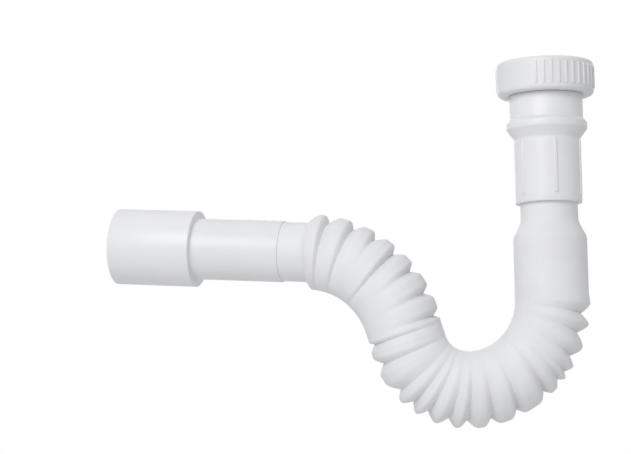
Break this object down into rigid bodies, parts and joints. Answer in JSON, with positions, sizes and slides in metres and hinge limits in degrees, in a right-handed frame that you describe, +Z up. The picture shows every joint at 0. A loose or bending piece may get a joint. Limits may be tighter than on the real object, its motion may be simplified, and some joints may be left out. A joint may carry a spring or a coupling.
{
  "type": "flexible waste pipe",
  "caption": "Flexible waste pipe bent into a trap: threaded coupling nut and sleeve at the inlet, corrugated bellows, stepped spigot at the outlet.",
  "frame": {"origin": "on the inlet axis, on the sealing face of the gasket inside the coupling nut", "axes": "+Z up out of the inlet; the outlet points along -X, rising 4.1 degrees; the bends lie in the XZ plane"},
  "size_m": [0.3204, 0.0626, 0.2293],
  "materials": {
    "nut_plastic": "satin white moulded polypropylene",
    "gasket_rubber": "matt black rubber",
    "tail_plastic": "satin white moulded polypropylene",
    "bellows_plastic": "soft matt white blown polypropylene",
    "spigot_plastic": "satin white moulded polypropylene"
  },
  "bodies": {
    "pipe": {"inlet_tail": "tail_plastic", "sealing_gasket": "gasket_rubber", "corrugated_pipe": "bellows_plastic"},
    "nut": {"coupling_nut": "nut_plastic"},
    "outlet": {"outlet_spigot": "spigot_plastic"}
  },
  "joints": [
    {"name": "nut_spin", "type": "hinge", "parent": "pipe", "child": "nut", "pos_m": [0, 0, 0], "axis": [0, 0, 1], "continuous": true},
    {"name": "outlet_swing", "type": "hinge", "parent": "pipe", "child": "outlet", "pos_m": [-0.11882, 0, -0.11656], "axis": [0, 1, 0], "range_deg": [-30, 40], "deforming": ["corrugated_pipe"]}
  ]
}
